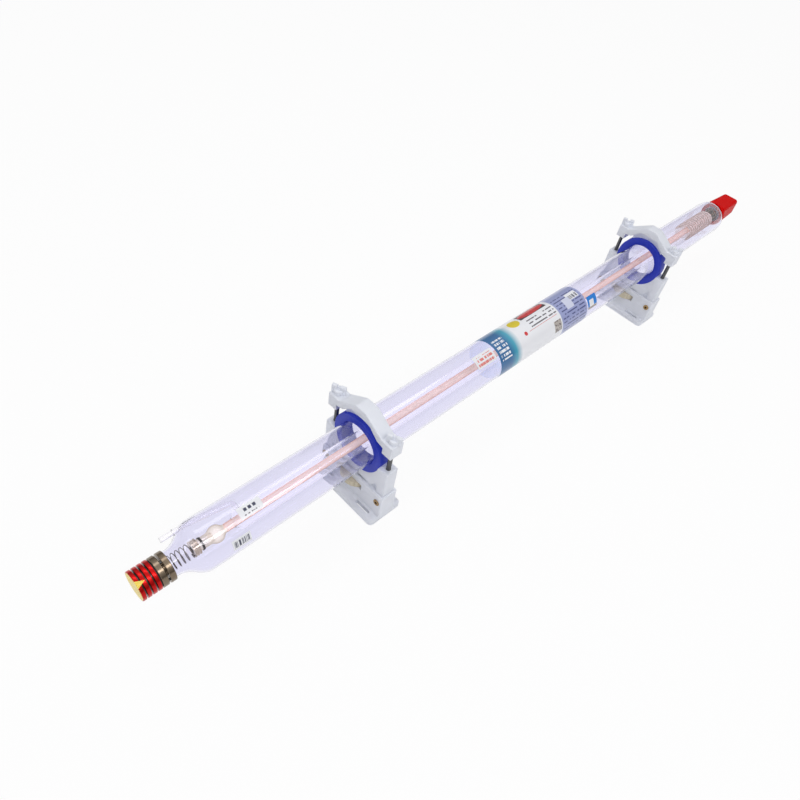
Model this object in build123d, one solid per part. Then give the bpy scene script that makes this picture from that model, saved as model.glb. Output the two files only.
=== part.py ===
"""Sealed glass CO2 laser tube on two adjustable clamp mounts.

Row frame: +Z up, the feet stand on Z = 0, the tube's axis runs along X with the
output head at -X, and X = 0, Y = 0 is the middle of the footprint.
The tube is drawn first along its own axis: a station is the distance, in mm,
from the front face of the output head. The mounts are drawn about their own
middle, with heights given from the tube's axis and from the floor.
"""
from build123d import *
from math import cos, sin, radians
import os

# ---------------------------------------------------------------- driving sizes
AXIS_HEIGHT = 132.0          # tube axis above the floor, at the lowest setting
RUNNING_GAP = 0.05           # radial gap of a screw or shaft that turns in its hole
SEAT_GAP = 0.03              # radial gap of a piece that is glued or pressed in
BODY_GAP = 0.3               # gap between faces that move past each other

# outer jacket, blown glass
JACKET_RADIUS = 40.0
JACKET_WALL = 2.5
NECK_RADIUS = 20.0
NECK_LENGTH = 6.0            # straight part of each neck, seat included
FRONT_SHOULDER = 46.0        # length of the long shoulder behind the output head
REAR_SHOULDER = 26.0
JACKET_BODY = 1500.0         # straight part at full diameter

# output head
HEAD_RADIUS = 23.0
FIN_COUNT = 4
FIN_THICK = 5.2
FIN_GAP = 2.4
FIN_DEPTH = 5.5
HEAD_BORE = 8.0
SPACER_THICK = 2.0
SPACER_RADIUS = 20.5
FLANGE_THICK = 8.5
FLEX_NECK_LENGTH = 3.0       # thin neck that lets the mirror flange be tilted
FLEX_NECK_RADIUS = 11.5
NECK_SEAT_DEPTH = 3.0
ADJUSTER_RADIUS = 1.8
ADJUSTER_INSET = 5.5         # from the rim of a flange to the middle of a screw
ADJUSTER_COUNT = 3
ADJUSTER_DEPTH = 5.0         # how far each adjusting screw runs into either flange
MIRROR_RADIUS = 12.5
MIRROR_THICK = 4.0
STICKER_THICK = 0.3
STICKER_RADIUS = 21.5
STICKER_LAP = 2.0            # how far the tab's root runs over the disc
STICKER_TAB_WIDTH = 11.0
STICKER_TAB_LENGTH = 12.0
STICKER_TAB_ANGLE = 118.0    # around the axis, from +Y towards +Z

# spring, electrode and gas parts inside the jacket
SPRING_RADIUS = 11.3         # to the middle of the wire
SPRING_WIRE = 1.3
SPRING_TURNS = 5.0
SPRING_LENGTH = 36.0
CUP_RADIUS = 12.3
CUP_RIM = 1.2                # width of each turned bead of the cup
CUP_BEAD = 0.9               # how far the beads stand out
CUP_LENGTH = 9.0
CUP_FLOOR = 2.5
CUP_BORE = 5.8
FLASK_NECK_RADIUS = 8.8
FLASK_NECK_LENGTH = 23.0
FLASK_BULB_RADIUS = 13.5
FLASK_WALL = 1.2
FLASK_LENGTH = 51.0
BAND_LENGTH = 3.0
BAND_GAP = 4.0               # from the cup to the band
BAND_THICK = 1.2
CATHODE_LENGTH = 30.0
CATHODE_WALL = 0.8
DISCHARGE_RADIUS = 6.5
DISCHARGE_WALL = 1.4
DISCHARGE_REACH = 12.0       # how far the discharge tube runs past the water jacket
WATER_RADIUS = 16.5
WATER_WALL = 1.5
WATER_END = 9.0              # length of each domed end
WATER_FRONT_GAP = 14.0       # from the flask to the water jacket
WATER_REAR_GAP = 0.5         # from the water jacket to the end of the full diameter
COIL_TUBE_RADIUS = 2.2
COIL_CLEARANCE = 0.15
COIL_PITCH = 9.7
COIL_TURNS = 12.0
COIL_REAR_GAP = 12.0         # from the last turn to the end of the water jacket
RETURN_LENGTH = 104.0

# water nozzles
NOZZLE_RADIUS = 4.0
NOZZLE_WALL = 1.0
NOZZLE_CIRCLE = 36.0
NOZZLE_BEAD = 1.0
NOZZLE_BEAD_PLACE = 19.5     # from the tip to the bead that stops the hose
NOZZLE_REACH = 44.0          # from the full diameter to the tip
NOZZLE_ROOT = 10.0           # from the full diameter to the first bend
NOZZLE_BEND = 9.0
OUTLET_ANGLE = 49.0          # around the axis, from +Y towards +Z
OUTLET_INSIDE = 68.0         # run inside the jacket, up to the drop to the water
OUTLET_LEVEL = 27.0          # radius at which the drop begins
INLET_ANGLE = -60.0
INLET_COIL_GAP = 12.0        # from the drop to the first turn of the gas coil
INLET_LEVEL = 31.0

# rear head and its cover
REAR_HEAD_RADIUS = 20.0
REAR_NECK_RADIUS = 16.0
RETAINER_LENGTH = 6.0
RETAINER_RADIUS = 17.0
ANODE_RADIUS = 2.0
ANODE_LENGTH = 24.0
ANODE_NUT_RADIUS = 4.0
ANODE_NUT_LENGTH = 3.0
COVER_WIDTH = 48.0           # at the collar, drawn in towards the closed end
COVER_END_WIDTH = 42.0
COVER_END_WALL = 2.4
COVER_LAP = 1.0              # how far the cover's collar laps over the glass side of the head
COVER_EDGE = 2.5
COLLAR_EDGE = 1.2
COVER_LENGTH = 84.0
COVER_CORNER = 8.0
COLLAR_RADIUS = 29.5
COLLAR_LENGTH = 10.0

# labels: first station, length, first angle, last angle
LABEL_THICK = 0.15
MAIN_LABEL = (713.0, 280.0)
MARK_STICKER = (657.0, 50.0, 95.0, 132.0)
OUTLET_STICKER = (155.0, 38.0, 98.0, 124.0)
SERIAL_STICKER = (128.0, 30.0, 150.0, 176.0)
BAND_STICKER = (997.0, 31.0, 124.0, 164.0)

# mounts
MOUNT_STATIONS = {"front": 403.0, "rear": 1274.0}
FOOT_DEPTH = 72.0            # along the tube
FOOT_WIDTH = 158.0           # across the tube
FOOT_THICK = 10.0
FOOT_CORNER = 8.0
FOOT_CHAMFER = 2.5
HOUSING_BELOW_AXIS = 69.5
HOUSING_WALL = 4.7
HOUSING_EDGE = 2.0
HOUSING_CORNER = 3.0
CHANNEL_DEPTH = 6.0
SLOT_WIDTH = 6.0
SLOT_LENGTH = 33.0
SLOT_INSET = 12.0            # slot centre line from the edge of the foot
SLOT_MIDDLE = 45.0           # slot middle from the tube's axis
SADDLE_DEPTH = 25.0
SADDLE_WIDTH = 150.0
PILLAR_TOP = -10.5           # from the axis
LEG_WIDTH = 41.0
LEG_BELOW_LOCK = 10.0        # how far the legs reach below the lock screws, fully raised
LIFT = 20.0                  # height adjustment
POCKET_WIDTH = 15.0
POCKET_HEIGHT = 18.0
POCKET_DEPTH = 5.0
POCKET_MIDDLE = 50.0
POCKET_TIP = 4.0             # width left at the top of each pocket
POCKET_LAP = 1.0             # how far pockets and reliefs run past the housing's rim
RELIEF_WIDTH = 18.0
RELIEF_DEPTH = 2.2
RELIEF_HEIGHT = 7.2
RELIEF_MIDDLE = 20.0
RING_RADIUS = 55.0
RING_DEPTH = 25.0
YOKE_DEPTH = 26.0
YOKE_END = 9.5               # from the middle of a bolt to the end of the yoke
YOKE_UNDER = 31.0            # underside of the clamping ends, from the axis
YOKE_TOP = 58.0              # top of the clamping ends, from the axis
YOKE_CROWN = 83.0
YOKE_CROWN_HALF = 12.0       # flat top of the arch, from the middle
YOKE_ARCH_HALF = 51.0        # foot of the arch, from the middle
YOKE_SHOULDER = (27.0, 73.5)
YOKE_ROUNDS = [4.0, 14.0, 9.0]
YOKE_INNER_CROWN = 65.4
YOKE_INNER_HALF = 20.8
YOKE_INSIDE = [(55.0, 43.3), (41.0, 47.0)]
YOKE_EDGE = 0.8
RIB_DEPTH = 12.0
RIB_HALF = 38.0
RIB_FLOOR = 38.0             # lowest part of the pressing rib, from the axis
BOLT_OFFSET = 65.0
BOLT_RADIUS = 4.0
BOLT_ENGAGED = 42.0
BOLT_CLEARANCE = 0.5
BOLT_TAIL_GAP = 1.0          # left below the bolt in its blind hole
KNOB_RADIUS = 8.5
KNOB_HEIGHT = 7.5
WING_SPAN = 25.0
WING_THICK = 6.5
WING_HEIGHT = 15.0
WING_DISH = 6.5
WING_TURN = 26.0
KNOB_SOCKET = 5.0
SCOOP_RADIUS = 17.0
WHEEL_RADIUS = 28.0
WHEEL_THICK = 13.0
WHEEL_COVER = 7.5            # from the wheel's top to the floor of the channel
WHEEL_GRIPS = 20
GRIP_RADIUS = 1.8
GRIP_SHALLOW = 0.6           # how far each grip's middle lies outside the rim
WINDOW_HALF = 29.0
SCREW_RADIUS = 6.0
SCREW_SEAT = 12.0            # length of the height screw held in the saddle
SCREW_TAIL = 1.0             # left below the wheel when fully raised
LOCK_OFFSET = 68.0
LOCK_BELOW_RIM = 18.5
LOCK_RADIUS = 4.5
LOCK_HEAD_RADIUS = 6.2
LOCK_HEAD = 1.6
LOCK_SOCKET = 2.6
LOCK_FLOOR = 1.0             # bottom of the hexagon socket, from the middle of the wall

# ---------------------------------------------------------------- worked out
FIN_LENGTH = FIN_COUNT * FIN_THICK + (FIN_COUNT - 1) * FIN_GAP
HEAD_START = FIN_LENGTH + SPACER_THICK
HEAD_LENGTH = 2 * FLANGE_THICK + FLEX_NECK_LENGTH
HEAD_END = HEAD_START + HEAD_LENGTH
NECK_START = HEAD_END - NECK_SEAT_DEPTH
BODY_START = NECK_START + NECK_LENGTH + FRONT_SHOULDER
BODY_END = BODY_START + JACKET_BODY
REAR_NECK_END = BODY_END + REAR_SHOULDER + NECK_LENGTH
REAR_HEAD_START = REAR_NECK_END - NECK_SEAT_DEPTH
REAR_HEAD_END = REAR_HEAD_START + HEAD_LENGTH
RETAINER_END = REAR_HEAD_END + RETAINER_LENGTH
COVER_START = REAR_HEAD_START - COVER_LAP
COVER_END = COVER_START + COLLAR_LENGTH + COVER_LENGTH
CUP_START = HEAD_END + SPRING_LENGTH
FLASK_START = CUP_START + CUP_FLOOR
FLASK_END = FLASK_START + FLASK_LENGTH
WATER_START = FLASK_END + WATER_FRONT_GAP
WATER_STOP = BODY_END - WATER_REAR_GAP
COIL_RADIUS = WATER_RADIUS + COIL_CLEARANCE + COIL_TUBE_RADIUS
COIL_STOP = WATER_STOP - COIL_REAR_GAP
COIL_START = COIL_STOP - COIL_PITCH * COIL_TURNS

NOZZLES = {                  # angle, edge of the full diameter, direction, run inside, level
    "water_outlet_nozzle": (OUTLET_ANGLE, BODY_START, -1, OUTLET_INSIDE, OUTLET_LEVEL),
    "water_inlet_nozzle": (INLET_ANGLE, BODY_END, 1, BODY_END - COIL_START + INLET_COIL_GAP, INLET_LEVEL),
}

HOUSING_DEPTH = SADDLE_DEPTH + 2 * (BODY_GAP + HOUSING_WALL)
HOUSING_HEIGHT = AXIS_HEIGHT - HOUSING_BELOW_AXIS
CHANNEL_FLOOR = HOUSING_HEIGHT - CHANNEL_DEPTH
WEB_BOTTOM = CHANNEL_FLOOR + BODY_GAP
CRADLE_RADIUS = RING_RADIUS + SEAT_GAP
LOCK_HEIGHT = HOUSING_HEIGHT - LOCK_BELOW_RIM
WHEEL_HEIGHT = CHANNEL_FLOOR - WHEEL_COVER - WHEEL_THICK
LEG_FLOOR = LOCK_HEIGHT - LIFT - LEG_BELOW_LOCK
SCREW_BOTTOM = WHEEL_HEIGHT - LIFT - SCREW_TAIL
TUBE_MIDDLE = (COVER_END - STICKER_THICK) / 2
KNOB_BOTTOM = AXIS_HEIGHT + YOKE_TOP + BODY_GAP
YOKE_HALF = BOLT_OFFSET + YOKE_END

TUBE_PLACE = Location((-TUBE_MIDDLE, 0, AXIS_HEIGHT))
BOTTOM = (Align.CENTER, Align.CENTER, Align.MIN)


# ---------------------------------------------------------------- small helpers
def save(shape, node):
    """Write one piece to its STEP file."""
    os.makedirs("parts", exist_ok=True)
    export_step(shape, f"parts/{node}.step")


def rod(start, end, radius):
    """A round bar along the tube's axis between two stations."""
    return Pos(start, 0, 0) * Rot(0, 90, 0) * Cylinder(radius, end - start, align=BOTTOM)


def sleeve(start, end, outer, inner):
    """A round bar with a bore right through it."""
    return rod(start, end, outer) - rod(start, end, inner)


def turned(*edges):
    """A solid of revolution about the axis from a closed outline (station, radius)."""
    outline = make_face(Wire(list(edges)))
    return revolve(outline, Axis.X, 360)


def path(*points):
    """Straight edges through (station, radius) points."""
    return [Line(a, b) for a, b in zip(points, points[1:])]


def s_curve(start, end):
    """A shoulder that leaves and meets the straight parts without a corner."""
    middle = (start[0] + end[0]) / 2
    return Bezier(start, (middle, start[1]), (middle, end[1]), end)


def around(angle, radius, station=0.0):
    """A place at an angle round the axis, from +Y towards +Z."""
    return Pos(station, radius * cos(radians(angle)), radius * sin(radians(angle)))


# ---------------------------------------------------------------- glass
def outer_jacket():
    """Outer glass: a long straight body with a drawn-in neck at each end."""
    inside = JACKET_RADIUS - JACKET_WALL
    neck_inside = NECK_RADIUS - JACKET_WALL
    rear_inside = REAR_NECK_RADIUS - JACKET_WALL
    front = NECK_START + NECK_LENGTH
    rear = REAR_NECK_END - NECK_LENGTH
    outline = path((NECK_START, neck_inside), (NECK_START, NECK_RADIUS), (front, NECK_RADIUS))
    outline += [s_curve((front, NECK_RADIUS), (BODY_START, JACKET_RADIUS))]
    outline += path((BODY_START, JACKET_RADIUS), (BODY_END, JACKET_RADIUS))
    outline += [s_curve((BODY_END, JACKET_RADIUS), (rear, REAR_NECK_RADIUS))]
    outline += path((rear, REAR_NECK_RADIUS), (REAR_NECK_END, REAR_NECK_RADIUS),
                    (REAR_NECK_END, rear_inside), (rear, rear_inside))
    outline += [s_curve((rear, rear_inside), (BODY_END, inside))]
    outline += path((BODY_END, inside), (BODY_START, inside))
    outline += [s_curve((BODY_START, inside), (front, neck_inside))]
    outline += path((front, neck_inside), (NECK_START, neck_inside))
    glass = turned(*outline)
    for nozzle in NOZZLES.values():
        glass -= nozzle_bar(NOZZLE_RADIUS + SEAT_GAP, *nozzle)
    return glass


def water_jacket():
    """Cooling jacket: a closed glass sleeve with domed ends on the discharge tube."""
    bore = DISCHARGE_RADIUS + SEAT_GAP
    inside = WATER_RADIUS - WATER_WALL
    front, rear = WATER_START + WATER_END, WATER_STOP - WATER_END
    lip = WATER_WALL
    outline = path((WATER_START, bore), (WATER_START, bore + lip))
    outline += [Bezier((WATER_START, bore + lip), (WATER_START, WATER_RADIUS), (front, WATER_RADIUS))]
    outline += path((front, WATER_RADIUS), (rear, WATER_RADIUS))
    outline += [Bezier((rear, WATER_RADIUS), (WATER_STOP, WATER_RADIUS), (WATER_STOP, bore + lip))]
    outline += path((WATER_STOP, bore + lip), (WATER_STOP, bore), (WATER_STOP - lip, bore))
    outline += [Bezier((WATER_STOP - lip, bore), (WATER_STOP - lip, inside), (rear, inside))]
    outline += path((rear, inside), (front, inside))
    outline += [Bezier((front, inside), (WATER_START + lip, inside), (WATER_START + lip, bore))]
    outline += path((WATER_START + lip, bore), (WATER_START, bore))
    sleeve_glass = turned(*outline)
    for nozzle in NOZZLES.values():
        sleeve_glass -= nozzle_bar(NOZZLE_RADIUS + SEAT_GAP, *nozzle)
    return sleeve_glass


def nozzle_route(edge, outward, inside, level):
    """Middle line of a nozzle: tip, shoulder, slope inside the jacket, drop to the water."""
    tip = (edge + outward * NOZZLE_REACH, 0, NOZZLE_CIRCLE)
    root = (edge + outward * NOZZLE_ROOT, 0, NOZZLE_CIRCLE)
    bend = (edge - outward * inside, 0, level)
    foot = (edge - outward * inside, 0, WATER_RADIUS - WATER_WALL)
    return FilletPolyline(tip, root, bend, foot, radius=NOZZLE_BEND)


def nozzle_bar(radius, angle, *place):
    """A solid bar along a nozzle's middle line, at its angle round the axis."""
    route = nozzle_route(*place)
    section = Plane(origin=route @ 0, z_dir=route % 0) * Circle(radius)
    return Rot(angle - 90, 0, 0) * sweep(section, path=route)


def water_nozzle(angle, edge, outward, inside, level):
    """Glass hose nozzle with a bead that stops the hose."""
    tube = nozzle_bar(NOZZLE_RADIUS, angle, edge, outward, inside, level)
    bead = Rot(0, 90, 0) * Torus(NOZZLE_RADIUS - NOZZLE_BEAD / 4, NOZZLE_BEAD)
    tube += around(angle, NOZZLE_CIRCLE, edge + outward * (NOZZLE_REACH - NOZZLE_BEAD_PLACE)) * bead
    return tube - nozzle_bar(NOZZLE_RADIUS - NOZZLE_WALL, angle, edge, outward, inside, level)


def discharge_tube():
    """Inner tube in which the gas is excited."""
    inner = DISCHARGE_RADIUS - DISCHARGE_WALL
    return sleeve(FLASK_END + SEAT_GAP, WATER_STOP + DISCHARGE_REACH, DISCHARGE_RADIUS, inner)


def electrode_flask():
    """Flask-shaped glass chamber: open neck, round bulb, drawn down to the tube."""
    neck = FLASK_START + FLASK_NECK_LENGTH
    bulb = neck + FLASK_BULB_RADIUS
    tail = DISCHARGE_RADIUS

    def wall(shrink):
        radius = FLASK_BULB_RADIUS - shrink
        return [
            Bezier((neck, FLASK_NECK_RADIUS - shrink), (neck + 4, FLASK_NECK_RADIUS - shrink),
                   (bulb - 7, radius), (bulb, radius)),
            Bezier((bulb, radius), (bulb + 9, radius), (FLASK_END - 6, tail - shrink),
                   (FLASK_END, tail - shrink)),
        ]

    inner_neck = FLASK_NECK_RADIUS - FLASK_WALL
    outline = path((FLASK_START, inner_neck), (FLASK_START, FLASK_NECK_RADIUS), (neck, FLASK_NECK_RADIUS))
    outline += wall(0.0)
    outline += path((FLASK_END, tail), (FLASK_END, tail - FLASK_WALL))
    outline += wall(FLASK_WALL)
    outline += path((neck, inner_neck), (FLASK_START, inner_neck))
    return turned(*outline)


def gas_return_coil():
    """Coiled gas return tube, wound round the rear of the water jacket."""
    coil_length = COIL_PITCH * COIL_TURNS
    helix = Helix(pitch=COIL_PITCH, height=coil_length, radius=COIL_RADIUS)
    section = Plane(origin=helix @ 0, z_dir=helix % 0) * Circle(COIL_TUBE_RADIUS)
    coil = sweep(section, path=helix, is_frenet=True)
    return Pos(COIL_START, 0, 0) * Rot(0, 90, 0) * coil


def gas_return_tube():
    """Straight run of the gas return, from the coil towards the middle of the tube."""
    straight = rod(COIL_START - RETURN_LENGTH, COIL_START - COIL_TUBE_RADIUS, COIL_TUBE_RADIUS)
    return Pos(0, 0, -COIL_RADIUS) * straight


# ---------------------------------------------------------------- metal heads
def finned_heat_sink():
    """Turned heat sink of the output head: round fins on a hub, mirror seat behind."""
    hub = HEAD_RADIUS - FIN_DEPTH
    body = rod(0, FIN_LENGTH, hub)
    for index in range(FIN_COUNT):
        start = index * (FIN_THICK + FIN_GAP)
        fin = rod(start, start + FIN_THICK, HEAD_RADIUS)
        body += chamfer(fin.edges().filter_by(GeomType.CIRCLE), 0.5)
    body -= rod(0, FIN_LENGTH, HEAD_BORE)
    body -= rod(FIN_LENGTH - MIRROR_THICK, FIN_LENGTH, MIRROR_RADIUS + SEAT_GAP)
    return body


def mirror_disc(start, thick):
    """A round mirror, ground flat on both sides."""
    return rod(start, start + thick, MIRROR_RADIUS)


def head_spacer():
    """Dark seal ring between the heat sink and the mirror flange."""
    return sleeve(FIN_LENGTH, HEAD_START, SPACER_RADIUS, HEAD_BORE)


def adjuster_places(radius):
    """Places of the mirror adjusting screws round the axis, inside a flange of this radius."""
    circle = radius - ADJUSTER_INSET
    return [around(90 + index * 360 / ADJUSTER_COUNT, circle) for index in range(ADJUSTER_COUNT)]


def head_mount(start, radius, seat_radius, seat_at_rear):
    """Two flanges joined by a thin flexible neck, turned as one piece."""
    split = start + FLANGE_THICK
    rear = split + FLEX_NECK_LENGTH
    end = rear + FLANGE_THICK
    body = rod(split, rear, FLEX_NECK_RADIUS)
    for low, high in ((start, split), (rear, end)):
        flange = rod(low, high, radius)
        body += chamfer(flange.edges().filter_by(GeomType.CIRCLE), 0.6)
    body -= rod(start, end, HEAD_BORE)
    low, high = (end - NECK_SEAT_DEPTH, end) if seat_at_rear else (start, start + NECK_SEAT_DEPTH)
    body -= sleeve(low, high, seat_radius + SEAT_GAP, seat_radius - JACKET_WALL - SEAT_GAP)
    for place in adjuster_places(radius):
        body -= place * rod(split - ADJUSTER_DEPTH, rear + ADJUSTER_DEPTH, ADJUSTER_RADIUS + SEAT_GAP)
    return body


def adjusting_screws(start, radius):
    """The three screws that bridge the gap between the flanges."""
    split = start + FLANGE_THICK
    low = split - ADJUSTER_DEPTH
    high = split + FLEX_NECK_LENGTH + ADJUSTER_DEPTH
    return Compound([place * rod(low, high, ADJUSTER_RADIUS) for place in adjuster_places(radius)])


def aperture_sticker():
    """Round film over the output aperture, with a pull tab folded back over the fins."""
    disc = rod(-STICKER_THICK, 0, STICKER_RADIUS)
    fold = HEAD_RADIUS + STICKER_THICK
    across = Rot(STICKER_TAB_ANGLE - 90, 0, 0)
    rise = Pos(-STICKER_THICK / 2, 0, (STICKER_RADIUS - STICKER_LAP + fold) / 2) * Box(
        STICKER_THICK, STICKER_TAB_WIDTH, fold - STICKER_RADIUS + STICKER_LAP)
    half = STICKER_TAB_WIDTH / 2
    flap = make_face(Polyline((-STICKER_THICK, -half), (STICKER_TAB_LENGTH, 0), (-STICKER_THICK, half),
                              close=True))
    back = Pos(0, 0, fold - STICKER_THICK) * extrude(flap, STICKER_THICK)
    return disc + across * (rise + back)


def mirror_retainer():
    """Screwed ring that holds the rear mirror on its flange."""
    ring = sleeve(REAR_HEAD_END, RETAINER_END, RETAINER_RADIUS, ANODE_RADIUS + SEAT_GAP)
    return ring - rod(REAR_HEAD_END, REAR_HEAD_END + MIRROR_THICK, MIRROR_RADIUS + SEAT_GAP)


def anode_pin():
    """High-voltage terminal pin behind the rear mirror."""
    start = REAR_HEAD_END + MIRROR_THICK
    pin = rod(start, start + ANODE_LENGTH, ANODE_RADIUS)
    return pin + rod(RETAINER_END, RETAINER_END + ANODE_NUT_LENGTH, ANODE_NUT_RADIUS)


def rear_cover():
    """Moulded cover over the rear head: round collar, square body with draft and a closed end."""
    split = COVER_START + COLLAR_LENGTH
    block = loft([Plane((station, 0, 0), x_dir=(0, 1, 0), z_dir=(1, 0, 0))
                  * RectangleRounded(width, width, COVER_CORNER)
                  for station, width in ((split, COVER_WIDTH), (COVER_END, COVER_END_WIDTH))])
    block = fillet(block.faces().sort_by(Axis.X)[-1].edges(), COVER_EDGE)
    collar = rod(COVER_START, split, COLLAR_RADIUS)
    collar = fillet(collar.edges().filter_by(GeomType.CIRCLE), COLLAR_EDGE)
    hollow = rod(COVER_START, COVER_END - COVER_END_WALL, REAR_HEAD_RADIUS + SEAT_GAP)
    return block + collar - hollow


# ---------------------------------------------------------------- inner metal parts
def cathode_spring():
    """Steel spring between the output head and the electrode cup."""
    rise = SPRING_LENGTH - SPRING_WIRE
    helix = Helix(pitch=rise / SPRING_TURNS, height=rise, radius=SPRING_RADIUS)
    section = Plane(origin=helix @ 0, z_dir=helix % 0) * Circle(SPRING_WIRE / 2)
    wire = sweep(section, path=helix, is_frenet=True)
    return Pos(HEAD_END + SPRING_WIRE / 2, 0, 0) * Rot(0, 90, 0) * wire


def electrode_cup():
    """Spun cup that takes the push of the spring and holds the neck of the flask."""
    start = CUP_START
    end = start + CUP_LENGTH
    cup = rod(start, end, CUP_RADIUS - CUP_BEAD)
    for low in (start, (start + end - CUP_RIM) / 2, end - CUP_RIM):
        cup += rod(low, low + CUP_RIM, CUP_RADIUS)
    cup -= rod(start + CUP_FLOOR, end, FLASK_NECK_RADIUS + SEAT_GAP)
    return cup - rod(start, end, CUP_BORE)


def electrode_band():
    """Dark metal band round the neck of the flask."""
    start = CUP_START + CUP_LENGTH + BAND_GAP
    return sleeve(start, start + BAND_LENGTH, FLASK_NECK_RADIUS + BAND_THICK, FLASK_NECK_RADIUS + SEAT_GAP)


def cathode_cylinder():
    """Thin metal electrode inside the flask."""
    outer = FLASK_NECK_RADIUS - FLASK_WALL - SEAT_GAP
    return sleeve(FLASK_START, FLASK_START + CATHODE_LENGTH, outer, outer - CATHODE_WALL)


# ---------------------------------------------------------------- labels
def wrap_label(start, length, first=0.0, last=360.0):
    """A printed film on the outer jacket, over part or all of its round."""
    inner = JACKET_RADIUS + SEAT_GAP
    strip = Pos(start, inner + LABEL_THICK / 2) * Rectangle(
        length, LABEL_THICK, align=(Align.MIN, Align.CENTER))
    return Rot(first, 0, 0) * revolve(strip, Axis.X, last - first)


# ---------------------------------------------------------------- mounts
def mount_base():
    """Foot with four slots and a housing for the saddle's legs and the height wheel."""
    foot = Box(FOOT_DEPTH, FOOT_WIDTH, FOOT_THICK, align=BOTTOM)
    foot = fillet(foot.edges().filter_by(Axis.Z), FOOT_CORNER)
    foot = chamfer(foot.faces().sort_by(Axis.Z)[-1].edges(), FOOT_CHAMFER)
    housing = Box(HOUSING_DEPTH, FOOT_WIDTH, HOUSING_HEIGHT, align=BOTTOM)
    housing = fillet(housing.edges().filter_by(Axis.Z), HOUSING_CORNER)
    housing = fillet(housing.faces().sort_by(Axis.Z)[-1].edges(), HOUSING_EDGE)
    body = foot + housing
    channel = (SADDLE_DEPTH + 2 * BODY_GAP, SADDLE_WIDTH + 2 * BODY_GAP)
    body -= Pos(0, 0, CHANNEL_FLOOR) * Box(*channel, CHANNEL_DEPTH, align=BOTTOM)
    for side in (-1, 1):
        middle = side * (SADDLE_WIDTH - LEG_WIDTH) / 2
        floor = LEG_FLOOR - BODY_GAP
        body -= Pos(0, middle, floor) * Box(
            channel[0], LEG_WIDTH + 2 * BODY_GAP, HOUSING_HEIGHT - floor, align=BOTTOM)
        body -= lock_screw_place(side) * Cylinder(LOCK_RADIUS + SEAT_GAP, 2 * HOUSING_WALL)
        for along in (-1, 1):
            slot = SlotOverall(SLOT_LENGTH, SLOT_WIDTH, rotation=90)
            place = Pos(along * (FOOT_DEPTH / 2 - SLOT_INSET), side * SLOT_MIDDLE, 0)
            body -= place * extrude(slot, FOOT_THICK)
    window = WHEEL_THICK + 2 * BODY_GAP
    body -= Pos(0, 0, WHEEL_HEIGHT - BODY_GAP) * Box(
        HOUSING_DEPTH, 2 * WINDOW_HALF, window, align=BOTTOM)
    body -= Pos(0, 0, SCREW_BOTTOM - BODY_GAP) * Cylinder(
        SCREW_RADIUS + 2 * BODY_GAP, HOUSING_HEIGHT, align=BOTTOM)
    return body


def lock_screw_place(side):
    """Middle of the housing wall at a lock screw, turned so that +Z points out of the wall."""
    wall_middle = -(HOUSING_DEPTH - HOUSING_WALL) / 2
    return Pos(wall_middle, side * LOCK_OFFSET, LOCK_HEIGHT) * Rot(0, -90, 0)


def lock_screws():
    """Two brass screws that clamp the saddle's legs once the height is set."""
    screws = []
    for side in (-1, 1):
        shank = Pos(0, 0, -HOUSING_WALL / 2) * Cylinder(LOCK_RADIUS, HOUSING_WALL, align=BOTTOM)
        head = Cylinder(LOCK_HEAD_RADIUS, LOCK_HEAD, align=BOTTOM)
        head = chamfer(head.edges().sort_by(Axis.Z)[-1], 0.4)
        screw = shank + Pos(0, 0, HOUSING_WALL / 2) * head
        socket = extrude(RegularPolygon(LOCK_SOCKET, 6), LOCK_HEAD + HOUSING_WALL / 2)
        screws.append(lock_screw_place(side) * (screw - Pos(0, 0, LOCK_FLOOR) * socket))
    return Compound(screws)


def height_wheel():
    """Ribbed nut wheel that raises and lowers the saddle."""
    wheel = Cylinder(WHEEL_RADIUS, WHEEL_THICK, align=BOTTOM)
    wheel = chamfer(wheel.edges().filter_by(GeomType.CIRCLE), 1.0)
    for index in range(WHEEL_GRIPS):
        angle = index * 360 / WHEEL_GRIPS
        wheel -= Rot(0, 0, angle) * Pos(WHEEL_RADIUS + GRIP_SHALLOW, 0, 0) * Cylinder(
            GRIP_RADIUS, WHEEL_THICK, align=BOTTOM)
    wheel -= Cylinder(SCREW_RADIUS + RUNNING_GAP, WHEEL_THICK, align=BOTTOM)
    return Pos(0, 0, WHEEL_HEIGHT) * wheel


def height_screw():
    """Screw held in the saddle, on which the height wheel runs."""
    top = WEB_BOTTOM + SCREW_SEAT
    screw = Cylinder(SCREW_RADIUS, top - SCREW_BOTTOM, align=BOTTOM)
    screw = chamfer(screw.edges().sort_by(Axis.Z)[0], 1.0)
    return Pos(0, 0, SCREW_BOTTOM) * screw


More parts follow.
